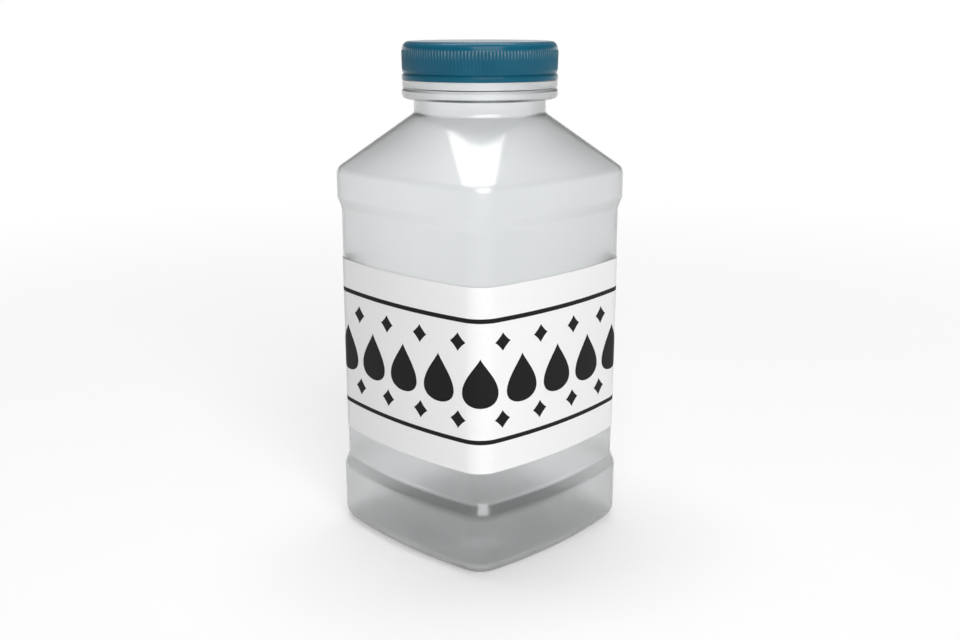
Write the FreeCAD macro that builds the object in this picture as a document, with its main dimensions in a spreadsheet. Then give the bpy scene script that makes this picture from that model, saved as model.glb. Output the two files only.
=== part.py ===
"""Square sauce bottle: a hollow blown bottle, its ribbed screw cap, the tamper band and a wrapped label.

Frame: +Z up, origin in the middle of the base on the standing plane, the four faces square to X and Y.
Sizes are in millimetres. The driving ones live in the spreadsheet and every feature is bound to its cells.
"""

import FreeCAD, Part
import math
import os
import Sketcher

# ---------------------------------------------------------------- driving sizes
SIZES = {
    # plan of the panel: four gently bulged faces joined by rounded corners
    "face_half_width": 34.1,
    "face_radius": 142.0,
    "corner_radius": 7.7,
    # heights of the blown body, one above the other from the standing plane
    "lower_belt_rise": 19.0,
    "lower_step_rise": 3.3,
    "panel_rise": 79.1,
    "upper_step_rise": 3.3,
    "upper_belt_rise": 8.6,
    "shoulder_rise": 16.4,
    # how far the belts stand out past the panel
    "lower_belt_out": 1.35,
    "upper_belt_out": 1.2,
    # walls and roundings of the blown body
    "wall": 1.0,
    "floor_wall": 1.4,
    "base_round": 4.6,
    "step_round": 3.0,
    "belt_round": 3.0,
    "neck_round": 1.5,
    # shallow round push-up in the base, inside the standing ring
    "standing_ring": 4.35,
    "push_up_slope": 4.0,
    "push_up": 1.6,
    # neck, support bead, groove, collar and mouth
    "neck_radius": 19.6,
    "neck_wall": 1.8,
    "neck_rise": 4.3,
    "bead_out": 3.5,
    "bead_rise": 2.3,
    "bead_round": 1.2,
    "groove_slope": 0.7,
    "groove_depth": 0.35,
    "collar_out": 3.35,
    "collar_rise": 2.15,
    "mouth_rise": 9.3,
    "edge_break": 0.3,
    # ribbed cap and the tamper band under it
    "thread_room": 1.8,
    "cap_wall": 1.4,
    "cap_deck": 1.5,
    "cap_round": 2.0,
    "rib_count": 144,
    "rib_depth": 0.27,
    "rib_width": 0.72,
    "rib_foot_gap": 0.9,
    "rib_head_gap": 0.3,
    "band_wall": 1.6,
    "band_rise": 1.45,
    "band_slit": 0.35,
    "web_wall": 0.6,
    # paper label wrapped over two faces of the panel, with its ends tucked round the next corners
    "label_foot_gap": 9.4,
    "label_rise": 54.4,
    "label_wall": 0.16,
    "label_glue": 0.02,
    "label_tuck": 1.5,
}

doc = FreeCAD.newDocument("SauceBottle")
sheet = doc.addObject("Spreadsheet::Sheet", "Sizes")


class Size:
    """A length that carries its number and the sheet expression that drives it."""

    def __init__(self, value, text):
        self.value = value
        self.text = text

    def join(self, sign, other, value):
        other_text = other.text if isinstance(other, Size) else repr(other)
        return Size(value, f"({self.text} {sign} {other_text})")

    def __add__(self, other):
        return self.join("+", other, self.value + number(other))

    def __sub__(self, other):
        return self.join("-", other, self.value - number(other))

    def __mul__(self, other):
        return self.join("*", other, self.value * number(other))

    def __truediv__(self, other):
        return self.join("/", other, self.value / number(other))


def number(size):
    """The plain number of a Size or of a number."""
    return size.value if isinstance(size, Size) else size


def root(size):
    """Square root of a Size."""
    return Size(math.sqrt(size.value), f"sqrt({size.text})")


def fill_sheet():
    """Writes each driving size into the sheet and returns it as a Size by its name."""
    sizes = {}
    for row, (alias, value) in enumerate(SIZES.items(), start=1):
        sheet.set(f"A{row}", alias)
        sheet.set(f"B{row}", str(value))
        sheet.setAlias(f"B{row}", alias)
        sizes[alias] = Size(value, f"Sizes.{alias}")
    doc.recompute()
    return sizes


S = fill_sheet()
ZERO = Size(0.0, "0")

# ---------------------------------------------------------------- levels and radii that follow from them
PANEL_FOOT = S["lower_belt_rise"] + S["lower_step_rise"]
PANEL_TOP = PANEL_FOOT + S["panel_rise"]
UPPER_BELT_FOOT = PANEL_TOP + S["upper_step_rise"]
BELT_TOP = UPPER_BELT_FOOT + S["upper_belt_rise"]
SHOULDER_TOP = BELT_TOP + S["shoulder_rise"]
BEAD_FOOT = SHOULDER_TOP + S["neck_rise"]
BEAD_TOP = BEAD_FOOT + S["bead_rise"]
GROOVE = BEAD_TOP + S["groove_slope"]
COLLAR_FOOT = GROOVE + S["groove_depth"]
COLLAR_TOP = COLLAR_FOOT + S["collar_rise"]
MOUTH = COLLAR_TOP + S["mouth_rise"]
BAND_TOP = COLLAR_TOP + S["band_rise"]
SKIRT_FOOT = BAND_TOP + S["band_slit"]
CAP_TOP = MOUTH + S["cap_deck"]

BORE_RADIUS = S["neck_radius"] - S["neck_wall"]
BEAD_RADIUS = S["neck_radius"] + S["bead_out"]
COLLAR_RADIUS = S["neck_radius"] + S["collar_out"]
PUSH_UP_RADIUS = S["face_half_width"] + S["lower_belt_out"] - S["base_round"] - S["standing_ring"]
CAP_BORE = S["neck_radius"] + S["thread_room"]
CAP_RADIUS = CAP_BORE + S["cap_wall"]
BAND_RADIUS = CAP_BORE + S["band_wall"]

# Every plan section is an offset of the panel, so all share their arc centres. A face arc is struck from a
# point past the axis, and a corner arc from a point on the diagonal that makes it tangent to both faces.
FACE_CENTRE = S["face_radius"] - S["face_half_width"]
ARC_SPAN = S["face_radius"] - S["corner_radius"]
CORNER_CENTRE = (root(ARC_SPAN * ARC_SPAN * 2 - FACE_CENTRE * FACE_CENTRE) - FACE_CENTRE) / 2
JOINT_SINE = CORNER_CENTRE / ARC_SPAN
JOINT_ANGLE = math.asin(JOINT_SINE.value)

START, END, CENTRE = 1, 2, 3
ORIGIN, X_AXIS, Y_AXIS = (-1, 1), -1, -2
QUARTER = math.pi / 2
# a bevel of this share of a round's radius touches the round at its middle
BEVEL_SHARE = 2 - math.sqrt(2)


# ---------------------------------------------------------------- sketches
def bind(item, prop, size):
    """Ties a property of a feature to the sheet."""
    item.setExpression(prop, size.text)


def origin_part(body, role):
    """A plane or axis of the body's own origin."""
    return next(f for f in body.Origin.OriginFeatures if f.Role == role)


def new_body(label):
    body = doc.addObject("PartDesign::Body", label.title().replace("_", ""))
    body.Label = label
    return body


def new_sketch(body, name, role, height=ZERO):
    """An empty sketch on one of the body's origin planes, lifted by height along the plane's normal."""
    sketch = body.newObject("Sketcher::SketchObject", name)
    sketch.AttachmentSupport = [(origin_part(body, role), "")]
    sketch.MapMode = "FlatFace"
    bind(sketch, ".AttachmentOffset.Base.z", height)
    return sketch


def tie(sketch, kind, *ends):
    """Adds a constraint that holds no size."""
    sketch.addConstraint(Sketcher.Constraint(kind, *ends))


def drive(sketch, kind, ends, size):
    """Adds a dimension and binds it to the sheet."""
    index = sketch.addConstraint(Sketcher.Constraint(kind, *ends, size.value))
    bind(sketch, f"Constraints[{index}]", size)


def plan_arc(x, y, radius, first, last, quarter):
    """An arc about (x, y), turned with its centre by a number of quarter turns."""
    for _ in range(quarter):
        x, y = -y, x
    circle = Part.Circle(FreeCAD.Vector(x, y, 0), FreeCAD.Vector(0, 0, 1), radius)
    return Part.ArcOfCircle(circle, first + quarter * QUARTER, last + quarter * QUARTER)


def plan_wire(sketch, offset):
    """The panel's plan grown by offset: four face arcs, each tangent to the corner arcs beside it."""
    face_radius = S["face_radius"] + offset
    corner_radius = S["corner_radius"] + offset
    k = CORNER_CENTRE.value
    first = sketch.GeometryCount
    for quarter in range(4):
        face = plan_arc(-FACE_CENTRE.value, 0, face_radius.value, -JOINT_ANGLE, JOINT_ANGLE, quarter)
        corner = plan_arc(k, k, corner_radius.value, JOINT_ANGLE, QUARTER - JOINT_ANGLE, quarter)
        sketch.addGeometry([face, corner], False)
    for i in range(8):
        tie(sketch, "Tangent", first + i, END, first + (i + 1) % 8, START)
    drive(sketch, "Radius", (first,), face_radius)
    drive(sketch, "Radius", (first + 1,), corner_radius)
    for quarter in range(4):
        face = first + 2 * quarter
        along, axis = (("DistanceX", X_AXIS), ("DistanceY", Y_AXIS))[quarter % 2]
        ends = (face, CENTRE, *ORIGIN) if quarter < 2 else (*ORIGIN, face, CENTRE)
        tie(sketch, "PointOnObject", face, CENTRE, axis)
        drive(sketch, along, ends, FACE_CENTRE)
        if quarter:
            tie(sketch, "Equal", first, face)
            tie(sketch, "Equal", first + 1, face + 1)


def ring_wire(sketch, radius):
    """A circle in eight arcs that meet in the same directions as the arcs of the plan."""
    joint = radius * JOINT_SINE
    for quarter in range(4):
        face = plan_arc(0, 0, radius.value, -JOINT_ANGLE, JOINT_ANGLE, quarter)
        corner = plan_arc(0, 0, radius.value, JOINT_ANGLE, QUARTER - JOINT_ANGLE, quarter)
        sketch.addGeometry([face, corner], False)
    for i in range(8):
        tie(sketch, "Coincident", i, CENTRE, *ORIGIN)
    for i in range(7):
        tie(sketch, "Coincident", i, END, i + 1, START)
    tie(sketch, "Vertical", 7, END, 0, START)
    drive(sketch, "Radius", (0,), radius)
    for quarter in range(4):
        face = 2 * quarter
        across = ("DistanceY", "DistanceX")[quarter % 2]
        for point in (START, END):
            ahead = (point == END) == (quarter in (0, 3))
            drive(sketch, across, (*ORIGIN, face, point) if ahead else (face, point, *ORIGIN), joint)


def polygon(sketch, spots):
    """Straight edges from spot to spot and back to the first; edge i starts at spot i."""
    count = len(spots)
    for i in range(count):
        sketch.addGeometry(Part.LineSegment(spots[i], spots[(i + 1) % count]), False)
    for i in range(count):
        tie(sketch, "Coincident", i, END, (i + 1) % count, START)


def plan_sketch(body, name, height, offset):
    sketch = new_sketch(body, name, "XY_Plane", height)
    plan_wire(sketch, offset)
    return sketch


def ring_sketch(body, name, height, radius):
    sketch = new_sketch(body, name, "XY_Plane", height)
    ring_wire(sketch, radius)
    return sketch


def profile_sketch(body, name, points):
    """A closed half profile of (radius, height) corners, to be turned about Z."""
    sketch = new_sketch(body, name, "XZ_Plane")
    polygon(sketch, [FreeCAD.Vector(r.value, z.value, 0) for r, z in points])
    for i, (r, z) in enumerate(points):
        if r is ZERO:
            tie(sketch, "PointOnObject", i, START, Y_AXIS)
        else:
            drive(sketch, "DistanceX", (*ORIGIN, i, START), r)
        drive(sketch, "DistanceY", (*ORIGIN, i, START), z)
    return sketch


# ---------------------------------------------------------------- features
def pad(body, name, sketch, length):
    feature = body.newObject("PartDesign::Pad", name)
    feature.Profile = sketch
    bind(feature, "Length", length)
    return feature


def loft(body, name, lower, upper):
    """A ruled form from one section to the next."""
    feature = body.newObject("PartDesign::AdditiveLoft", name)
    feature.Profile = lower
    feature.Sections = [upper]
    feature.Ruled = True
    return feature


def turn(body, name, points, kind="PartDesign::Revolution"):
    """Turns a half profile about Z, to add it or, as a groove, to cut it."""
    sketch = profile_sketch(body, name + "Profile", points)
    feature = body.newObject(kind, name)
    feature.Profile = sketch
    feature.ReferenceAxis = (sketch, ["V_Axis"])
    feature.Angle = 360
    return feature


def rim_edges(shape, height, radius):
    """Names of the edges that lie level at a height and, if a radius is given, at that radius."""
    names = []
    for i, edge in enumerate(shape.Edges, start=1):
        box = edge.BoundBox
        spot = edge.valueAt(edge.FirstParameter)
        level = max(abs(box.ZMin - height.value), abs(box.ZMax - height.value)) < 1e-3
        if level and (radius is None or abs(math.hypot(spot.x, spot.y) - radius.value) < 1e-3):
            names.append(f"Edge{i}")
    return names


def dress_rim(body, kind, name, height, radius):
    """A fillet or chamfer on the body's level edges at a height."""
    doc.recompute()
    base = body.Tip
    feature = body.newObject(kind, name)
    feature.Base = (base, rim_edges(base.Shape, height, radius))
    return feature


def round_rim(body, name, size, height, radius=None):
    bind(dress_rim(body, "PartDesign::Fillet", name, height, radius), "Radius", size)


def bevel_rim(body, name, size, height, radius=None):
    bind(dress_rim(body, "PartDesign::Chamfer", name, height, radius), "Size", size)


# ---------------------------------------------------------------- bottle
def blown_form(label, grow, floor, belt_top, top_radius):
    """The blown body as a closed form, grown all round by grow, or shrunk where grow is negative.

    It stands on floor and rises through belt, step, panel, step, belt and shoulder to a ring of top_radius.
    """
    body = new_body(label)
    low, high = S["lower_belt_out"] + grow, S["upper_belt_out"] + grow
    lower_belt_top = S["lower_belt_rise"]

    pad(body, "LowerBelt", plan_sketch(body, "BasePlan", floor, low), lower_belt_top - floor)
    belt_end = plan_sketch(body, "LowerBeltPlan", lower_belt_top, low)
    panel_foot = plan_sketch(body, "PanelFootPlan", PANEL_FOOT, grow)
    loft(body, "LowerStep", belt_end, panel_foot)
    pad(body, "Panel", plan_sketch(body, "PanelPlan", PANEL_FOOT, grow), PANEL_TOP - PANEL_FOOT)
    panel_end = plan_sketch(body, "PanelTopPlan", PANEL_TOP, grow)
    belt_foot = plan_sketch(body, "UpperBeltFootPlan", UPPER_BELT_FOOT, high)
    loft(body, "UpperStep", panel_end, belt_foot)
    upper_belt = plan_sketch(body, "UpperBeltPlan", UPPER_BELT_FOOT, high)
    pad(body, "UpperBelt", upper_belt, belt_top - UPPER_BELT_FOOT)
    shoulder_foot = plan_sketch(body, "ShoulderPlan", belt_top, high)
    loft(body, "Shoulder", shoulder_foot, ring_sketch(body, "NeckRing", SHOULDER_TOP, top_radius))
    return body


def push_up(body, floor):
    """Cuts the shallow push-up into a form that stands on floor."""
    foot, head = PUSH_UP_RADIUS, PUSH_UP_RADIUS - S["push_up_slope"]
    roof = floor + S["push_up"]
    turn(body, "PushUp", [(ZERO, floor), (foot, floor), (head, roof), (ZERO, roof)], "PartDesign::Groove")


def bottle_skin():
    """Outside of the bottle: the blown body with the turned neck, bead, collar and mouth on top."""
    body = blown_form("bottle_skin", ZERO, ZERO, BELT_TOP, S["neck_radius"])
    round_rim(body, "BaseRound", S["base_round"], ZERO)
    round_rim(body, "LowerBeltRound", S["step_round"], S["lower_belt_rise"])
    round_rim(body, "PanelFootRound", S["step_round"], PANEL_FOOT)
    round_rim(body, "PanelTopRound", S["step_round"], PANEL_TOP)
    round_rim(body, "UpperBeltRound", S["step_round"], UPPER_BELT_FOOT)
    round_rim(body, "ShoulderRound", S["belt_round"], BELT_TOP)
    finish = [
        (ZERO, SHOULDER_TOP),
        (S["neck_radius"], SHOULDER_TOP),
        (S["neck_radius"], BEAD_FOOT),
        (BEAD_RADIUS, BEAD_FOOT),
        (BEAD_RADIUS, BEAD_TOP),
        (COLLAR_RADIUS - S["groove_depth"], GROOVE),
        (COLLAR_RADIUS, COLLAR_FOOT),
        (COLLAR_RADIUS, COLLAR_TOP),
        (S["neck_radius"], COLLAR_TOP),
        (S["neck_radius"], MOUTH),
        (ZERO, MOUTH),
    ]
    turn(body, "Finish", finish)
    round_rim(body, "NeckRound", S["neck_round"], SHOULDER_TOP)
    round_rim(body, "BeadRound", S["bead_round"], BEAD_FOOT, BEAD_RADIUS)
    bevel_rim(body, "CollarBreak", S["edge_break"], COLLAR_TOP, COLLAR_RADIUS)
    bevel_rim(body, "MouthBreak", S["edge_break"], MOUTH, S["neck_radius"])
    push_up(body, ZERO)
    return body


def bottle_hollow():
    """Space inside the bottle: one wall in from the skin, open through the bore, raised over the push-up."""
    wall, floor = S["wall"], S["floor_wall"]
    body = blown_form("bottle_hollow", ZERO - wall, floor, BELT_TOP - wall / 2, BORE_RADIUS)
    bevel_rim(body, "FloorBevel", (S["base_round"] - wall) * BEVEL_SHARE, floor)
    bore = ring_sketch(body, "BoreRing", SHOULDER_TOP, BORE_RADIUS)
    pad(body, "Bore", bore, MOUTH - SHOULDER_TOP + wall)
    push_up(body, floor)
    return body


def bottle():
    """The bottle: one blown piece, open at its mouth."""
    cut = doc.addObject("Part::Cut", "Bottle")
    cut.Base = bottle_skin()
    cut.Tool = bottle_hollow()
    cut.Label = "bottle"
    return cut


# ---------------------------------------------------------------- closure
def cap_rib(body):
    """One grip rib: a ridge of two flanks, let into the skirt by its own depth."""
    foot = SKIRT_FOOT + S["rib_foot_gap"]
    heel, crest = CAP_RADIUS - S["rib_depth"], CAP_RADIUS + S["rib_depth"]
    half = S["rib_width"] / 2
    sketch = new_sketch(body, "RibPlan", "XY_Plane", foot)
    polygon(
        sketch,
        [
            FreeCAD.Vector(heel.value, -half.value, 0),
            FreeCAD.Vector(crest.value, 0, 0),
            FreeCAD.Vector(heel.value, half.value, 0),
        ],
    )
    tie(sketch, "PointOnObject", 1, START, X_AXIS)
    for corner, reach in ((0, heel), (1, crest), (2, heel)):
        drive(sketch, "DistanceX", (*ORIGIN, corner, START), reach)
    drive(sketch, "DistanceY", (0, START, *ORIGIN), half)
    drive(sketch, "DistanceY", (*ORIGIN, 2, START), half)
    return pad(body, "Rib", sketch, CAP_TOP - S["cap_round"] - S["rib_head_gap"] - foot)


def cap():
    """Screw cap: a deck that rests on the mouth, a skirt and a ring of grip ribs."""
    body = new_body("cap")
    shell = [
        (ZERO, MOUTH),
        (CAP_BORE, MOUTH),
        (CAP_BORE, SKIRT_FOOT),
        (CAP_RADIUS, SKIRT_FOOT),
        (CAP_RADIUS, CAP_TOP),
        (ZERO, CAP_TOP),
    ]
    turn(body, "Shell", shell)
    round_rim(body, "DeckRound", S["cap_round"], CAP_TOP, CAP_RADIUS)
    bevel_rim(body, "SkirtBreak", S["edge_break"], SKIRT_FOOT, CAP_RADIUS)
    rib = cap_rib(body)
    doc.recompute()
    ribs = body.newObject("PartDesign::PolarPattern", "Ribs")
    ribs.Originals = [rib]
    ribs.Axis = (origin_part(body, "Z_Axis"), [""])
    ribs.Angle = 360
    bind(ribs, "Occurrences", S["rib_count"])
    body.Tip = ribs
    return body


def tamper_band():
    """The ring left on the collar when the cap is turned off, with the thin web that joins it to the skirt."""
    body = new_body("tamper_band")
    web = CAP_BORE + S["web_wall"]
    ring = [(CAP_BORE, COLLAR_TOP), (BAND_RADIUS, COLLAR_TOP), (BAND_RADIUS, BAND_TOP)]
    ring += [(web, BAND_TOP), (web, SKIRT_FOOT), (CAP_BORE, SKIRT_FOOT)]
    turn(body, "Ring", ring)
    bevel_rim(body, "RingBreak", S["edge_break"], BAND_TOP, BAND_RADIUS)
    return body


# ---------------------------------------------------------------- label
def box_sketch(body, name, height, before, past):
    """A square from before the axis to past it, the same along X and Y."""
    sketch = new_sketch(body, name, "XY_Plane", height)
    low, high = -before.value, past.value
    corners = [(low, low), (high, low), (high, high), (low, high)]
    polygon(sketch, [FreeCAD.Vector(x, y, 0) for x, y in corners])
    for side in (0, 2):
        tie(sketch, "Horizontal", side)
        tie(sketch, "Vertical", side + 1)
    for along in ("DistanceX", "DistanceY"):
        drive(sketch, along, (0, START, *ORIGIN), before)
        drive(sketch, along, (*ORIGIN, 2, START), past)
    return sketch


def label():
    """Paper over the -X and -Y faces; its two ends stop just past the corners, so the back is bare."""
    body = new_body("label")
    foot = PANEL_FOOT + S["label_foot_gap"]
    over = S["label_glue"] + S["label_wall"]
    sleeve = plan_sketch(body, "SleevePlan", foot, over)
    plan_wire(sleeve, S["label_glue"])
    pad(body, "Sleeve", sleeve, S["label_rise"])
    doc.recompute()
    end = CORNER_CENTRE - S["label_tuck"]
    clear = S["face_half_width"] + S["corner_radius"]
    back = box_sketch(body, "BackPlan", foot, end, clear)
    window = body.newObject("PartDesign::Pocket", "BareBack")
    window.Profile = back
    window.Reversed = True
    bind(window, "Length", S["label_rise"])
    return body


# ---------------------------------------------------------------- build and write
def check(parts):
    """Stops on any failed feature and on any part that isn't one valid solid."""
    doc.recompute()
    for item in doc.Objects:
        if "Invalid" in item.State or "Error" in item.State:
            raise RuntimeError(f"{item.Name} failed: {item.State}")
    for part in parts:
        shape = part.Shape
        if shape.isNull() or not shape.isValid() or len(shape.Solids) != 1:
            raise RuntimeError(f"{part.Label} is not one valid solid")


def write(parts):
    """Writes each part to a STEP file named after it."""
    os.makedirs("parts", exist_ok=True)
    for part in parts:
        part.Shape.exportStep(f"parts/{part.Label}.step")
        print(f"{part.Label}: {part.Shape.Volume / 1000:.2f} cm3")


PARTS = [bottle(), cap(), tamper_band(), label()]
check(PARTS)
write(PARTS)
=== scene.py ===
"""Looks of the square sauce bottle: a hazy blown bottle, its ribbed cap, tamper band and printed label."""

import math

import bpy
import numpy as np
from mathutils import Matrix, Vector


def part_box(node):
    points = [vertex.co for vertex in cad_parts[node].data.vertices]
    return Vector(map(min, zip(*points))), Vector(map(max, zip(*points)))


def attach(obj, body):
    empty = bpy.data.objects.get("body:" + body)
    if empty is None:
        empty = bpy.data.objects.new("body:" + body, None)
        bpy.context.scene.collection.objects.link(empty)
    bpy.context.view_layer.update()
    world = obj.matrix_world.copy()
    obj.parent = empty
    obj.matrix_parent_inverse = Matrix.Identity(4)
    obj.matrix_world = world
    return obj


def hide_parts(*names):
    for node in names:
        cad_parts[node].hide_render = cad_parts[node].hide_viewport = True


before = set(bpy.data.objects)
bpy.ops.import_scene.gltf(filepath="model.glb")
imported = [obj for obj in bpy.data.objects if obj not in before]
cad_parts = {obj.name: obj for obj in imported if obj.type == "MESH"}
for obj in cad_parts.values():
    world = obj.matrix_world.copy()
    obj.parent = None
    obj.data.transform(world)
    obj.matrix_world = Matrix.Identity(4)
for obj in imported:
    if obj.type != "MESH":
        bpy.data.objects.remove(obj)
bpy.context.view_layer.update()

MM = 0.001
TAU = 2 * math.pi
QUARTER = math.pi / 2

# ---------------------------------------------------------------- sizes, in millimetres unless said


def levels(node):
    """Lowest and highest level of a CAD node."""
    low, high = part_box(node)
    return low.z / MM, high.z / MM


def reach(node):
    """How far a CAD node reaches from the axis along X."""
    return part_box(node)[1].x / MM


MOUTH = levels("bottle")[1]
SKIRT_FOOT, CAP_TOP = levels("cap")
COLLAR_TOP = levels("tamper_band")[0]
LABEL_FOOT, LABEL_HEAD = levels("label")
BAND_RADIUS = reach("tamper_band")
CAP_REACH = reach("cap")

FACE_RADIUS = 142.0
CORNER_RADIUS = 7.7
LOWER_BELT_OUT = 1.35
UPPER_BELT_OUT = 1.2
FACE_HALF_WIDTH = reach("bottle") - LOWER_BELT_OUT
LOWER_BELT_TOP = 19.0
PANEL_FOOT = 22.3
PANEL_TOP = 101.4
UPPER_BELT_FOOT = 104.7
BELT_TOP = 113.3
SHOULDER_TOP = 129.7
BEAD_FOOT = 134.0
BEAD_TOP = 136.3
GROOVE = 137.0
COLLAR_FOOT = 137.35
WALL = 1.0
FLOOR_WALL = 1.4
BASE_ROUND = 4.6
STEP_ROUND = 3.0
NECK_ROUND = 1.8
EDGE_ROUND = 0.3
MOUTH_ROUND = 0.4
SQUARE_ON = 6.8
PUSH_UP = 1.6
PUSH_UP_FOOT = 26.5
PUSH_UP_HEAD = 22.5
PUSH_UP_ROUND = 2.0
NECK_RADIUS = 19.6
BORE_RADIUS = 17.8
BEAD_RADIUS = 23.1
BEAD_FOOT_ROUND = 0.4
BEAD_ROUND = 1.2
BEAD_HEAD_ROUND = 0.25
GROOVE_DEPTH = 0.35
GROOVE_ROUND = 0.12
COLLAR_RADIUS = 22.95
BAND_TOP = 140.95
CAP_BORE = 21.4
WEB_RADIUS = 22.6
CAP_ROUND = 2.0
RIB_COUNT = 144
RIB_DEPTH = 0.27
RIB_FOOT_GAP = 0.6
RIB_HEAD_GAP = 0.1
RIB_FOOT_TAPER = 0.5
RIB_HEAD_TAPER = 0.9
RIB_FOOT_SHARE = 0.45
LABEL_WALL = 0.16
LABEL_GLUE = 0.02
LABEL_TUCK = 1.5
INK_SINK = 0.03
INK_PROUD = 0.035
PRINT_PITCH = 14.0
PRINT_MARGIN = 2.5
RULE_LEVELS = (76.6, 41.2)
RULE_THICKNESS = 1.3
DROP_LEVEL = 58.6
DROP_HEIGHT = 14.5
DROP_WIDTH = 11.0
DIAMOND_LEVELS = (70.2, 47.4)
DIAMOND_SIZE = 5.4

# the innermost ring of a skin, which closes on a point in its middle
CORE_RADIUS = 0.6

# plan of the panel: face arcs struck from past the axis, corner arcs from points on the diagonals
FACE_CENTRE = FACE_RADIUS - FACE_HALF_WIDTH
ARC_SPAN = FACE_RADIUS - CORNER_RADIUS
CORNER_CENTRE = (math.sqrt(2 * ARC_SPAN**2 - FACE_CENTRE**2) - FACE_CENTRE) / 2
JOINT = math.asin(CORNER_CENTRE / ARC_SPAN)


# ---------------------------------------------------------------- mesh tools
class Columns:
    """Stations round the plan: each has a direction, and the arc of the plan that it lies on."""

    def __init__(self, face_steps, corner_steps):
        rows = []
        for quarter in range(4):
            turn = quarter * QUARTER
            for i in range(face_steps):
                rows.append((turn, -JOINT + 2 * JOINT * i / face_steps, -FACE_CENTRE, 0.0, FACE_RADIUS))
            for i in range(corner_steps):
                lean = JOINT + (QUARTER - 2 * JOINT) * i / corner_steps
                rows.append((turn, lean, CORNER_CENTRE, CORNER_CENTRE, CORNER_RADIUS))
        turn, lean, cx, cy, radius = np.array(rows).T
        cos, sin = np.cos(turn), np.sin(turn)
        self.centre = np.stack([cx * cos - cy * sin, cx * sin + cy * cos], axis=1)
        self.way = np.stack([np.cos(turn + lean), np.sin(turn + lean)], axis=1)
        self.radius = radius[:, None]

    def plan(self, offset, z):
        """The panel's plan grown by offset, at a level."""
        flat = self.centre + (self.radius + offset) * self.way
        return np.column_stack([flat, np.full(len(flat), z)])

    def ring(self, radius, z):
        """A circle whose points look the same ways as the plan's."""
        return np.column_stack([radius * self.way, np.full(len(self.way), z)])


def unit(rows):
    """Directions of length 1."""
    return rows / np.maximum(np.linalg.norm(rows, axis=-1, keepdims=True), 1e-12)


def rounded(stations, steps=6):
    """Rows of points along the stations, with an arc of each station's radius at its corner.

    A station is (points, radius): one point for each column round the form.
    """
    rows = [stations[0][0]]
    for before, (corner, radius), after in zip(stations, stations[1:], stations[2:]):
        if radius <= 0:
            rows.append(corner)
            continue
        back, ahead = before[0] - corner, after[0] - corner
        back_way, ahead_way = unit(back), unit(ahead)
        inner = np.arccos(np.clip((back_way * ahead_way).sum(axis=1), -1, 1))
        turn = math.pi - inner
        trim = radius * np.tan(turn / 2)
        room = 0.95 * np.minimum(np.linalg.norm(back, axis=1), np.linalg.norm(ahead, axis=1))
        trim = np.minimum(trim, room)[:, None]
        weight = np.cos(turn / 2)[:, None]
        first, last = corner + back_way * trim, corner + ahead_way * trim
        for i in range(steps + 1):
            t = i / steps
            a, b, c = (1 - t) ** 2, 2 * t * (1 - t) * weight, t**2
            rows.append((a * first + b * corner + c * last) / (a + b + c))
    rows.append(stations[-1][0])
    return rows


def split(rows, longest):
    """Adds rows where two neighbours lie further apart than longest."""
    out = [rows[0]]
    for low, high in zip(rows, rows[1:]):
        gap = np.linalg.norm(high - low, axis=1).max()
        count = max(1, math.ceil(gap / longest))
        out.extend(low + (high - low) * i / count for i in range(1, count + 1))
    return out


def skin(rows, closed_ends=True):
    """Vertices and faces of a tube through the rows; each end closes on a point in its middle."""
    count = len(rows[0])
    points = [np.concatenate(rows)]
    faces = []
    for level in range(len(rows) - 1):
        low, high = level * count, (level + 1) * count
        for i in range(count):
            j = (i + 1) % count
            faces.append((low + i, low + j, high + j, high + i))
    if closed_ends:
        foot, head = len(rows) * count, len(rows) * count + 1
        top = (len(rows) - 1) * count
        points.append(np.array([rows[0].mean(axis=0), rows[-1].mean(axis=0)]))
        for i in range(count):
            j = (i + 1) % count
            faces.append((foot, j, i))
            faces.append((head, top + i, top + j))
    return np.concatenate(points), faces


def loop_skin(rows):
    """Like skin, but the last row joins back to the first, as on a ring."""
    points, faces = skin(rows, closed_ends=False)
    count = len(rows[0])
    top = (len(rows) - 1) * count
    for i in range(count):
        j = (i + 1) % count
        faces.append((top + i, top + j, j, i))
    return points, faces


def strip_skin(rows):
    """Vertices and faces of a long closed strip whose four edges are the rows."""
    count = len(rows[0])
    faces = []
    for side in range(4):
        low, high = side * count, (side + 1) % 4 * count
        for i in range(count - 1):
            faces.append((low + i, low + i + 1, high + i + 1, high + i))
    faces.append((0, count, 2 * count, 3 * count))
    faces.append((4 * count - 1, 3 * count - 1, 2 * count - 1, count - 1))
    return np.concatenate(rows), faces


def piece(name, points, faces, material):
    """A smooth mesh object in the row frame, from points in millimetres."""
    mesh = bpy.data.meshes.new(name)
    mesh.from_pydata((points * MM).tolist(), [], faces)
    mesh.validate()
    mesh.shade_smooth()
    mesh.materials.append(material)
    item = bpy.data.objects.new(name, mesh)
    bpy.context.scene.collection.objects.link(item)
    weigh = item.modifiers.new("EvenNormals", "WEIGHTED_NORMAL")
    weigh.weight = 60
    weigh.keep_sharp = True
    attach(item, "root")
    return item


# ---------------------------------------------------------------- materials
def nodes_of(name):
    """A new node material with its Principled shader."""
    material = bpy.data.materials.new(name)
    material.use_nodes = True
    return material, material.node_tree, material.node_tree.nodes["Principled BSDF"]


def axes_of(tree, output="Object"):
    """X, Y and Z of a set of coordinates."""
    where = tree.nodes.new("ShaderNodeTexCoord")
    axes = tree.nodes.new("ShaderNodeSeparateXYZ")
    tree.links.new(where.outputs[output], axes.inputs[0])
    return tuple(axes.outputs[axis] for axis in "XYZ")


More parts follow.
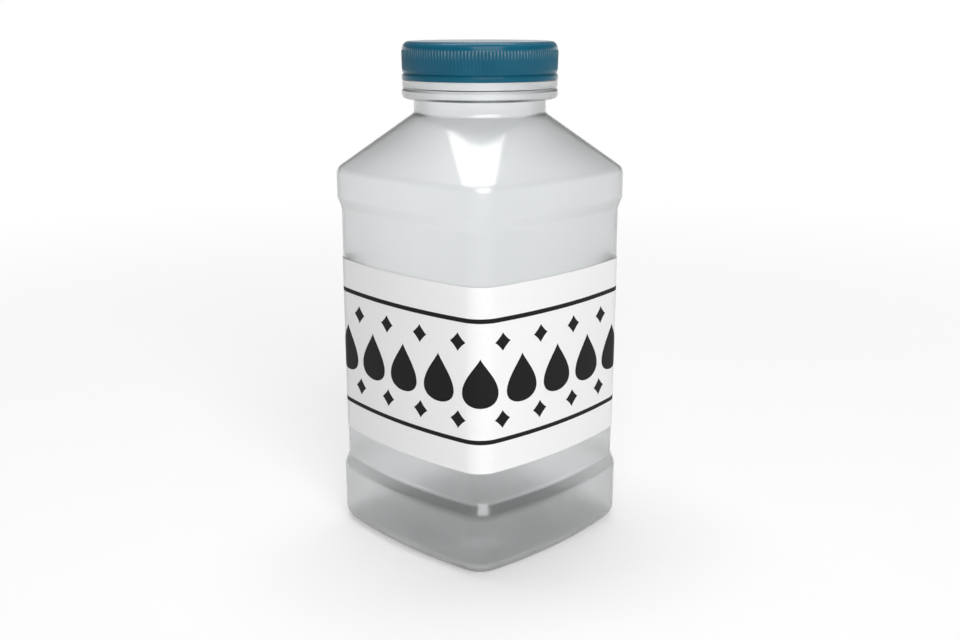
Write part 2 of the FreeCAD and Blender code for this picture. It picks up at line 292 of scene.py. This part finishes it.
def blend(tree, factor, low, high, mode="MIX"):
    """Two colours mixed, or joined in another mode; each input is a value or a socket."""
    mix = tree.nodes.new("ShaderNodeMix")
    mix.data_type = "RGBA"
    mix.blend_type = mode
    for socket, value in zip((mix.inputs[0], mix.inputs[6], mix.inputs[7]), (factor, low, high)):
        if isinstance(value, tuple):
            socket.default_value = (*value, 1)
        elif isinstance(value, float):
            socket.default_value = value
        else:
            tree.links.new(value, socket)
    return mix.outputs[2]


def noise(tree, scale, detail=3.0, stretch=(1.0, 1.0, 1.0)):
    """Noise in the object's own metres, stretched along an axis where that axis has a small factor."""
    where = tree.nodes.new("ShaderNodeTexCoord")
    mapping = tree.nodes.new("ShaderNodeMapping")
    mapping.inputs["Scale"].default_value = stretch
    tree.links.new(where.outputs["Object"], mapping.inputs["Vector"])
    texture = tree.nodes.new("ShaderNodeTexNoise")
    texture.inputs["Scale"].default_value = scale
    texture.inputs["Detail"].default_value = detail
    tree.links.new(mapping.outputs["Vector"], texture.inputs["Vector"])
    return texture.outputs["Fac"]


def ramp(tree, factor, low, high):
    """Maps a factor of 0.3 to 0.7 onto low to high, which are numbers or colours."""
    if isinstance(low, tuple):
        return blend(tree, ramp(tree, factor, 0.0, 1.0), low, high)
    span = tree.nodes.new("ShaderNodeMapRange")
    span.inputs["From Min"].default_value = 0.3
    span.inputs["From Max"].default_value = 0.7
    span.inputs["To Min"].default_value = low
    span.inputs["To Max"].default_value = high
    tree.links.new(factor, span.inputs["Value"])
    return span.outputs["Result"]


def bump(tree, shader, height, strength, distance):
    """Relief on a shader's normal."""
    node = tree.nodes.new("ShaderNodeBump")
    node.inputs["Strength"].default_value = strength
    node.inputs["Distance"].default_value = distance
    tree.links.new(height, node.inputs["Height"])
    tree.links.new(node.outputs["Normal"], shader.inputs["Normal"])


def shades(tree, factor, stops):
    """A grey ramp over a factor, from (place, shade) stops."""
    node = tree.nodes.new("ShaderNodeValToRGB")
    marks = node.color_ramp.elements
    while len(marks) < len(stops):
        marks.new(0.5)
    for mark, (place, shade) in zip(marks, stops):
        mark.position = place
        mark.color = (shade, shade, shade, 1)
    tree.links.new(factor, node.inputs[0])
    return node.outputs[0]


def maths(tree, operation, first, second=0):
    """One sum; each input is a number or a socket."""
    node = tree.nodes.new("ShaderNodeMath")
    node.operation = operation
    for socket, value in zip(node.inputs, (first, second)):
        if isinstance(value, (int, float)):
            socket.default_value = value
        else:
            tree.links.new(value, socket)
    return node.outputs[0]


def bottle_plastic():
    """Hazy blown plastic with a glossy skin; its colour carries painted shade at the lower step, at the
    floor and edge-on, and painted lighter bands.
    """
    material, tree, shader = nodes_of("bottle_plastic")
    shader.inputs["Transmission Weight"].default_value = 1.0
    shader.inputs["IOR"].default_value = 1.45
    shader.inputs["Coat Weight"].default_value = 0.85
    shader.inputs["Coat Roughness"].default_value = 0.13
    shader.inputs["Coat IOR"].default_value = 1.5
    haze = noise(tree, 45.0, 4.0, (1.0, 1.0, 0.35))
    x, y, z = axes_of(tree)
    height = maths(tree, "DIVIDE", z, MOUTH * MM)
    # painted shade and light by height: a light line at the base, a dark band on the lower step, a lighter
    # band below the label
    foot = [(0.0, 1.0), (1.4, 0.97), (17.2, 0.97), (18.7, 0.6), (21.5, 0.6), (21.9, 1.0), (31.0, 1.0)]
    # painted light by height: a lighter band on the upper step and at the top of the shoulder, over a
    # slightly shaded panel
    panel = [(50.0, 0.965), (100.6, 0.965), (101.6, 1.0), (104.4, 1.0), (105.4, 0.965), (112.0, 0.965)]
    painted_shade = shades(tree, height, [(level / MOUTH, shade) for level, shade in foot + panel + [(122.0, 1.0)]])
    edge = tree.nodes.new("ShaderNodeLayerWeight")
    edge.inputs["Blend"].default_value = 0.5
    facing = edge.outputs["Facing"]
    # the painted shade of the lower step lifts where the faces turn away, towards the sides
    sides = shades(tree, facing, [(0.3, 0.6), (0.355, 0.72), (0.42, 0.88), (0.5, 1.0)])
    painted_shade = maths(tree, "MAXIMUM", painted_shade, sides)
    # painted shade edge-on: the colour darkens towards the outline
    rim = shades(tree, facing, [(0.0, 1.0), (0.3, 1.0), (0.5, 0.9), (0.65, 0.72), (0.8, 0.45), (1.0, 0.2)])
    # painted shade on the bottle's floor, standing in for the dark beneath it: inside the base edge and
    # below 3.2 mm
    east, north = maths(tree, "ABSOLUTE", x), maths(tree, "ABSOLUTE", y)
    slanting = maths(tree, "MULTIPLY", maths(tree, "ADD", east, north), 0.56)
    across = maths(tree, "MAXIMUM", maths(tree, "MAXIMUM", east, north), slanting)
    inside = maths(tree, "LESS_THAN", across, 31.5 * MM)
    low = maths(tree, "LESS_THAN", z, 3.2 * MM)
    painted_floor_shade = shades(tree, maths(tree, "MULTIPLY", inside, low), [(0.0, 1.0), (1.0, 0.48)])
    colour = ramp(tree, haze, (0.955, 0.972, 0.978), (0.98, 0.993, 0.997))
    # the painted shades multiply the plastic's own tint
    for shade in (painted_shade, rim, painted_floor_shade):
        colour = blend(tree, 1.0, colour, shade, "MULTIPLY")
    tree.links.new(colour, shader.inputs["Base Color"])
    tree.links.new(ramp(tree, haze, 0.285, 0.33), shader.inputs["Roughness"])
    return material


def cap_plastic():
    """Teal moulded plastic with a satin skin, with painted highlights as uneven glints at the heads of the
    ribs.
    """
    material, tree, shader = nodes_of("cap_plastic")
    shader.inputs["Specular IOR Level"].default_value = 0.2
    swirl = noise(tree, 120.0, 4.0)
    x, y, z = axes_of(tree)
    # painted highlights: pale glints on the rib crests just under the rim, patchy round the skirt
    wave = maths(tree, "COSINE", maths(tree, "MULTIPLY", maths(tree, "ARCTAN2", y, x), RIB_COUNT))
    crest = shades(tree, wave, [(0.0, 0.0), (0.8, 1.0)])
    centimetres_down = maths(tree, "DIVIDE", maths(tree, "SUBTRACT", CAP_TOP * MM, z), 0.01)
    head = shades(tree, centimetres_down, [(0.2, 0.0), (0.24, 0.9), (0.3, 1.0), (0.42, 0.35), (0.5, 0.0)])
    patches = ramp(tree, noise(tree, 700.0), 0.35, 1.0)
    painted_glint = maths(tree, "MULTIPLY", maths(tree, "MULTIPLY", crest, head), patches)
    teal = ramp(tree, swirl, (0.001, 0.088, 0.15), (0.004, 0.1, 0.168))
    # the painted glint colour laid over the teal
    tree.links.new(blend(tree, painted_glint, teal, (0.16, 0.235, 0.265)), shader.inputs["Base Color"])
    tree.links.new(ramp(tree, swirl, 0.14, 0.19), shader.inputs["Roughness"])
    bump(tree, shader, noise(tree, 4000.0, 2.0), 0.08, 0.05 * MM)
    return material


def band_plastic():
    """The cap's plastic, in the band's own slot."""
    material = cap_plastic()
    material.name = "band_plastic"
    return material


def label_paper():
    """White coated paper with a faint fibre grain."""
    material, tree, shader = nodes_of("label_paper")
    shader.inputs["Specular IOR Level"].default_value = 0.3
    fibre = noise(tree, 900.0, 5.0)
    tree.links.new(ramp(tree, fibre, (0.895, 0.895, 0.895), (0.91, 0.91, 0.91)), shader.inputs["Base Color"])
    tree.links.new(ramp(tree, fibre, 0.5, 0.62), shader.inputs["Roughness"])
    bump(tree, shader, fibre, 0.04, 0.03 * MM)
    return material


def print_ink():
    """Near-black ink with slightly uneven cover."""
    material, tree, shader = nodes_of("print_ink")
    shader.inputs["Specular IOR Level"].default_value = 0.08
    cover = noise(tree, 1500.0, 4.0)
    black = ramp(tree, cover, (0.011, 0.011, 0.011), (0.016, 0.016, 0.016))
    tree.links.new(black, shader.inputs["Base Color"])
    tree.links.new(ramp(tree, cover, 0.45, 0.6), shader.inputs["Roughness"])
    return material


BOTTLE_PLASTIC = bottle_plastic()
CAP_PLASTIC = cap_plastic()
BAND_PLASTIC = band_plastic()
LABEL_PAPER = label_paper()
PRINT_INK = print_ink()


# ---------------------------------------------------------------- bottle
def make_bottle():
    """The blown bottle as one closed shell: its outside, then over the mouth and down its inside."""
    at = Columns(24, 24)
    low, high = LOWER_BELT_OUT, UPPER_BELT_OUT
    roof = FLOOR_WALL + PUSH_UP
    inner, outer_step = STEP_ROUND - WALL, STEP_ROUND + WALL
    stations = [
        (at.ring(CORE_RADIUS, PUSH_UP), 0),
        (at.ring(PUSH_UP_HEAD, PUSH_UP), PUSH_UP_ROUND),
        (at.ring(PUSH_UP_FOOT, 0), PUSH_UP_ROUND),
        (at.plan(low - SQUARE_ON, 0), 0),
        (at.plan(low, 0), BASE_ROUND),
        (at.plan(low, LOWER_BELT_TOP), STEP_ROUND),
        (at.plan(0, PANEL_FOOT), STEP_ROUND),
        (at.plan(0, PANEL_TOP), STEP_ROUND),
        (at.plan(high, UPPER_BELT_FOOT), STEP_ROUND),
        (at.plan(high, BELT_TOP), STEP_ROUND),
        (at.ring(NECK_RADIUS, SHOULDER_TOP), NECK_ROUND),
        (at.ring(NECK_RADIUS, BEAD_FOOT), BEAD_FOOT_ROUND),
        (at.ring(BEAD_RADIUS, BEAD_FOOT), BEAD_ROUND),
        (at.ring(BEAD_RADIUS, BEAD_TOP), BEAD_HEAD_ROUND),
        (at.ring(COLLAR_RADIUS - GROOVE_DEPTH, GROOVE), GROOVE_ROUND),
        (at.ring(COLLAR_RADIUS, COLLAR_FOOT), GROOVE_ROUND),
        (at.ring(COLLAR_RADIUS, COLLAR_TOP), EDGE_ROUND),
        (at.ring(NECK_RADIUS, COLLAR_TOP), EDGE_ROUND),
        (at.ring(NECK_RADIUS, MOUTH), MOUTH_ROUND),
        (at.ring(BORE_RADIUS, MOUTH), MOUTH_ROUND),
        (at.ring(BORE_RADIUS, SHOULDER_TOP), NECK_ROUND),
        (at.plan(high - WALL, BELT_TOP - WALL / 2), inner),
        (at.plan(high - WALL, UPPER_BELT_FOOT), inner),
        (at.plan(-WALL, PANEL_TOP), outer_step),
        (at.plan(-WALL, PANEL_FOOT), outer_step),
        (at.plan(low - WALL, LOWER_BELT_TOP), inner),
        (at.plan(low - WALL, FLOOR_WALL), BASE_ROUND - WALL),
        (at.plan(low - SQUARE_ON, FLOOR_WALL), 0),
        (at.ring(PUSH_UP_FOOT, FLOOR_WALL), PUSH_UP_ROUND),
        (at.ring(PUSH_UP_HEAD, roof), PUSH_UP_ROUND),
        (at.ring(CORE_RADIUS, roof), 0),
    ]
    points, faces = skin(split(rounded(stations), 8.0))
    item = piece("bottle_shell", points, faces, BOTTLE_PLASTIC)
    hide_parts("bottle")


# ---------------------------------------------------------------- cap and band
def ribbed(angles):
    """Height of the rib pattern, 0 in a root and 1 on a crest, with soft crests and tighter roots."""
    wave = 0.5 + 0.5 * np.cos(angles * RIB_COUNT)
    return wave**0.8


def circle(radius, z, count):
    """A level ring of points."""
    angle = np.arange(count) * TAU / count
    return np.column_stack([radius * np.cos(angle), radius * np.sin(angle), np.full(count, z)])


def make_cap():
    """The cap: a deck, a rounded rim, a ribbed skirt and the open inside."""
    count = RIB_COUNT * 8
    root = CAP_REACH - RIB_DEPTH
    foot, head = SKIRT_FOOT + RIB_FOOT_GAP, CAP_TOP - CAP_ROUND - RIB_HEAD_GAP
    rib_ends = [foot + rise for rise in (0, 0.17, 0.33, RIB_FOOT_TAPER)]
    rib_ends += [head - fall for fall in (RIB_HEAD_TAPER, 0.68, 0.45, 0.22, 0)]
    stations = [
        (circle(CORE_RADIUS, MOUTH, count), 0),
        (circle(CAP_BORE, MOUTH, count), 0.6),
        (circle(CAP_BORE, SKIRT_FOOT, count), 0.25),
        (circle(root, SKIRT_FOOT, count), EDGE_ROUND),
        *[(circle(root, z, count), 0) for z in rib_ends],
        (circle(root, CAP_TOP, count), CAP_ROUND),
        (circle(CORE_RADIUS, CAP_TOP, count), 0),
    ]
    pattern = ribbed(np.arange(count) * TAU / count)
    rows = []
    for row in split(rounded(stations, 7), 3.0):
        radius, z = np.hypot(row[0, 0], row[0, 1]), row[0, 2]
        if radius > CAP_BORE + 0.8 and foot < z < head:
            rise = min((z - foot) / RIB_FOOT_TAPER, (head - z) / RIB_HEAD_TAPER, 1.0)
            share = RIB_FOOT_SHARE + (1 - RIB_FOOT_SHARE) * (z - foot) / (head - foot)
            rise = rise * rise * (3 - 2 * rise) * share
            factor = 1 + RIB_DEPTH * rise * pattern / radius
            row = np.column_stack([row[:, :2] * factor[:, None], row[:, 2]])
        rows.append(row)
    points, faces = skin(rows)
    item = piece("cap_shell", points, faces, CAP_PLASTIC)
    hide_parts("cap")


def make_band():
    """The tamper band: a plain ring with soft edges, and the thin web that joins it to the skirt."""
    count = 192
    stations = [
        (circle(CAP_BORE, SKIRT_FOOT, count), 0),
        (circle(CAP_BORE, COLLAR_TOP, count), 0.1),
        (circle(BAND_RADIUS, COLLAR_TOP, count), 0.12),
        (circle(BAND_RADIUS, BAND_TOP, count), 0.4),
        (circle(WEB_RADIUS, BAND_TOP, count), 0.1),
        (circle(WEB_RADIUS, SKIRT_FOOT, count), 0),
        (circle(CAP_BORE, SKIRT_FOOT, count), 0),
    ]
    rows = rounded(stations)[:-1]
    points, faces = loop_skin(rows)
    item = piece("tamper_band_ring", points, faces, BAND_PLASTIC)
    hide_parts("tamper_band")


# ---------------------------------------------------------------- label and its print
def around(run, offset):
    """Points of the panel's plan, grown by offset, at runs along it from the middle of the front corner.

    A positive run goes over the -Y face to the +X face, a negative one over the -X face to the +Y face.
    """
    corner, face = CORNER_RADIUS + offset, FACE_RADIUS + offset
    length = np.abs(run)
    first = corner * (math.pi / 4 - JOINT)
    second = first + face * 2 * JOINT
    third = second + corner * (QUARTER - 2 * JOINT)
    spans = [length < first, length < second, length < third]
    leans = [
        length / corner,
        math.pi / 4 - JOINT + (length - first) / face,
        math.pi / 4 + JOINT + (length - second) / corner,
    ]
    lean = np.select(spans, leans, 3 * math.pi / 4 - JOINT + (length - third) / face)
    k, c = CORNER_CENTRE, FACE_CENTRE
    x = np.select(spans, [-k, 0, k], -c)
    y = np.select(spans, [-k, c, -k], 0)
    radius = np.select(spans, [corner, face, corner], face)
    turn = 5 * math.pi / 4 + lean
    x, y = x + radius * np.cos(turn), y + radius * np.sin(turn)
    back = run < 0
    return np.where(back, y, x), np.where(back, x, y)


def label_reach(offset):
    """Run from the front corner to where the label ends on the back faces."""
    corner, face = CORNER_RADIUS + offset, FACE_RADIUS + offset
    end = math.asin((LABEL_TUCK - CORNER_CENTRE) / face)
    return corner * 3 * (math.pi / 4 - JOINT) + face * (3 * JOINT + end)


def sheet_of(run, z, under, over):
    """Lower and upper sides of a thin sheet that lies on the label, as two rows of points."""
    sides = []
    for offset in (under, over):
        x, y = around(run, offset)
        sides.append(np.column_stack([x, y, z]))
    return sides


def make_label():
    """The paper: one sheet over two faces, its ends tucked round the next corners."""
    under, over = LABEL_GLUE, LABEL_GLUE + LABEL_WALL
    step = np.linspace(-1, 1, 241)
    rows = []
    for z, offset in ((LABEL_HEAD, under), (LABEL_FOOT, under), (LABEL_FOOT, over), (LABEL_HEAD, over)):
        x, y = around(step * label_reach(offset), offset)
        rows.append(np.column_stack([x, y, np.full(len(x), z)]))
    points, faces = strip_skin(rows)
    item = piece("label_sheet", points, faces, LABEL_PAPER)
    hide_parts("label")


def drop(height, width, count=48):
    """Outline of a sauce drop, its point up."""
    angle = np.arange(count) * TAU / count
    across = np.sin(angle) * np.sin(angle / 2) ** 1.5 * width * 0.72
    return np.column_stack([across, np.cos(angle) * height / 2])


def diamond(height, width, count=32):
    """Outline of a diamond with slightly hollow sides."""
    angle = np.arange(count) * TAU / count
    cos, sin = np.cos(angle), np.sin(angle)
    across = np.sign(cos) * np.abs(cos) ** 2.3 * width / 2
    return np.column_stack([across, np.sign(sin) * np.abs(sin) ** 2.3 * height / 2])


def printed(outline, run, z, rings=6):
    """A thin closed solid of an outline, laid on the label with its middle at run and z."""
    under, over = LABEL_GLUE + LABEL_WALL - INK_SINK, LABEL_GLUE + LABEL_WALL + INK_PROUD
    share = np.arange(1, rings + 1) / rings
    flat = np.concatenate([[(0.0, 0.0)], *[outline * s for s in share]])
    low, high = sheet_of(run + flat[:, 0], z + flat[:, 1], under, over)
    count, size = len(outline), len(flat)
    faces = []
    for i in range(count):
        j = (i + 1) % count
        faces.append((size, size + 1 + j, size + 1 + i))
        faces.append((0, 1 + i, 1 + j))
        for ring in range(rings - 1):
            a, b = 1 + ring * count, 1 + (ring + 1) * count
            faces.append((size + a + i, size + a + j, size + b + j, size + b + i))
            faces.append((a + i, b + i, b + j, a + j))
        rim = 1 + (rings - 1) * count
        faces.append((size + rim + i, size + rim + j, rim + j, rim + i))
    return np.concatenate([low, high]), faces


def rule(z, thickness, end, count=160):
    """A thin closed strip along the label."""
    under, over = LABEL_GLUE + LABEL_WALL - INK_SINK, LABEL_GLUE + LABEL_WALL + INK_PROUD
    run = np.linspace(-end, end, count)
    rows = []
    top, low = z + thickness / 2, z - thickness / 2
    for offset, level in ((over, top), (under, top), (under, low), (over, low)):
        x, y = around(run, offset)
        rows.append(np.column_stack([x, y, np.full(count, level)]))
    return strip_skin(rows)


def make_print():
    """Plain dark ornament: a row of sauce drops between small diamonds and two rules."""
    end = label_reach(LABEL_GLUE + LABEL_WALL) - PRINT_MARGIN
    parts = [rule(z, RULE_THICKNESS, end) for z in RULE_LEVELS]
    for i in range(-4, 5):
        parts.append(printed(drop(DROP_HEIGHT, DROP_WIDTH), i * PRINT_PITCH, DROP_LEVEL))
    for i in range(-5, 5):
        for z in DIAMOND_LEVELS:
            parts.append(printed(diamond(DIAMOND_SIZE, DIAMOND_SIZE), (i + 0.5) * PRINT_PITCH, z))
    points, faces, start = [], [], 0
    for spots, sides in parts:
        points.append(spots)
        faces.extend(tuple(start + i for i in side) for side in sides)
        start += len(spots)
    return piece("label_print", np.concatenate(points), faces, PRINT_INK)


make_bottle()
make_cap()
make_band()
make_label()
make_print()


# ---------------------------------------------------------------- stage, lights, camera
def is_background(tree):
    """1 for camera, glossy and transmission rays before any diffuse bounce, which show the background."""
    path = tree.nodes.new("ShaderNodeLightPath")
    shiny = maths(tree, "MAXIMUM", path.outputs["Is Glossy Ray"], path.outputs["Is Transmission Ray"])
    shown = maths(tree, "MAXIMUM", path.outputs["Is Camera Ray"], shiny)
    return maths(tree, "MULTIPLY", shown, maths(tree, "LESS_THAN", path.outputs["Diffuse Depth"], 0.5))


def make_world(light):
    """Studio surroundings: white where they show, a plain level where they light.

    Gloss sees a white floor line and a white ceiling, with darker walls between them.
    """
    world = bpy.data.worlds.new("studio")
    bpy.context.scene.world = world
    world.use_nodes = True
    tree = world.node_tree
    plain = tree.nodes["Background"]
    plain.inputs["Color"].default_value = (1, 1, 1, 1)
    plain.inputs["Strength"].default_value = light
    white = tree.nodes.new("ShaderNodeBackground")
    white.inputs["Color"].default_value = (1, 1, 1, 1)
    white.inputs["Strength"].default_value = 1.0
    upward = axes_of(tree, "Generated")[2]
    walls = shades(tree, upward, [(0.0, 1.0), (0.05, 1.0), (0.15, 0.0), (0.5, 0.0), (0.8, 1.0)])
    path = tree.nodes.new("ShaderNodeLightPath")
    direct = maths(tree, "MAXIMUM", path.outputs["Is Camera Ray"], path.outputs["Is Transmission Ray"])
    share = maths(tree, "MAXIMUM", walls, direct)
    mix = tree.nodes.new("ShaderNodeMixShader")
    tree.links.new(maths(tree, "MULTIPLY", is_background(tree), share), mix.inputs[0])
    tree.links.new(plain.outputs[0], mix.inputs[1])
    tree.links.new(white.outputs[0], mix.inputs[2])
    tree.links.new(mix.outputs[0], tree.nodes["World Output"].inputs["Surface"])


def make_floor(cover, glow, clear, far):
    """A pale floor that takes the shadow and fades to the white background from clear to far.

    It scatters the share cover of the light, and shows glow on top of that. Metres.
    """
    mesh = bpy.data.meshes.new("floor")
    size = 6.0
    corners = [(-size, -size, 0), (size, -size, 0), (size, size, 0), (-size, size, 0)]
    mesh.from_pydata(corners, [], [(0, 1, 2, 3)])
    floor = bpy.data.objects.new("floor", mesh)
    bpy.context.scene.collection.objects.link(floor)
    floor.location.z = -0.02 * MM
    material = bpy.data.materials.new("floor")
    material.use_nodes = True
    tree = material.node_tree
    tree.nodes.remove(tree.nodes["Principled BSDF"])
    diffuse = tree.nodes.new("ShaderNodeBsdfDiffuse")
    diffuse.inputs["Color"].default_value = (cover, cover, cover, 1)
    lift = tree.nodes.new("ShaderNodeEmission")
    white = tree.nodes.new("ShaderNodeEmission")
    white.inputs["Strength"].default_value = 1.0
    shows = is_background(tree)
    tree.links.new(maths(tree, "MULTIPLY", shows, glow), lift.inputs["Strength"])
    both = tree.nodes.new("ShaderNodeAddShader")
    tree.links.new(diffuse.outputs[0], both.inputs[0])
    tree.links.new(lift.outputs[0], both.inputs[1])
    where = tree.nodes.new("ShaderNodeTexCoord")
    gap = tree.nodes.new("ShaderNodeVectorMath")
    gap.operation = "LENGTH"
    tree.links.new(where.outputs["Object"], gap.inputs[0])
    fade = tree.nodes.new("ShaderNodeMapRange")
    fade.interpolation_type = "SMOOTHSTEP"
    fade.inputs["From Min"].default_value = clear
    fade.inputs["From Max"].default_value = far
    tree.links.new(gap.outputs["Value"], fade.inputs["Value"])
    mix = tree.nodes.new("ShaderNodeMixShader")
    tree.links.new(maths(tree, "MULTIPLY", fade.outputs["Result"], shows), mix.inputs[0])
    tree.links.new(both.outputs[0], mix.inputs[1])
    tree.links.new(white.outputs[0], mix.inputs[2])
    tree.links.new(mix.outputs[0], tree.nodes["Material Output"].inputs["Surface"])
    mesh.materials.append(material)


def make_lamp(name, azimuth, elevation, distance, width, height, power, aim=(0, 0, 0.07)):
    """A soft rectangular lamp that looks at the bottle. Azimuth 0 is the -Y side and 90 the +X side."""
    lamp = bpy.data.lights.new(name, "AREA")
    lamp.shape = "RECTANGLE"
    lamp.size, lamp.size_y = width, height
    lamp.energy = power
    item = bpy.data.objects.new(name, lamp)
    bpy.context.scene.collection.objects.link(item)
    a, e = math.radians(azimuth), math.radians(elevation)
    back = Vector((math.sin(a) * math.cos(e), -math.cos(a) * math.cos(e), math.sin(e)))
    item.location = Vector(aim) + back * distance
    item.rotation_mode = "QUATERNION"
    item.rotation_quaternion = (-back).to_track_quat("-Z", "Y")


def make_camera():
    """Stands off the corner between the -X and -Y faces and a little above, as in the photograph."""
    lens = bpy.data.cameras.new("camera")
    lens.sensor_width = 36.0
    lens.lens = 42.0
    camera = bpy.data.objects.new("camera", lens)
    bpy.context.scene.collection.objects.link(camera)
    camera.location = Vector((-239.3, -238.0, 157.27)) * MM
    pitch = math.radians(15.18)
    heading = Vector((0.709, 0.705, 0)).normalized() * math.cos(pitch)
    look = Vector((heading.x, heading.y, -math.sin(pitch)))
    camera.rotation_mode = "QUATERNION"
    camera.rotation_quaternion = look.to_track_quat("-Z", "Y")
    bpy.context.scene.camera = camera


bpy.context.scene.view_settings.view_transform = "Standard"
make_world(light=0.25)
make_floor(cover=0.64, glow=0.31, clear=0.2, far=0.7)
make_lamp("front", azimuth=-33, elevation=30, distance=2.0, width=1.5, height=1.9, power=35.0)
make_lamp("top", azimuth=150, elevation=76, distance=2.0, width=1.7, height=0.85, power=21.0)
make_camera()
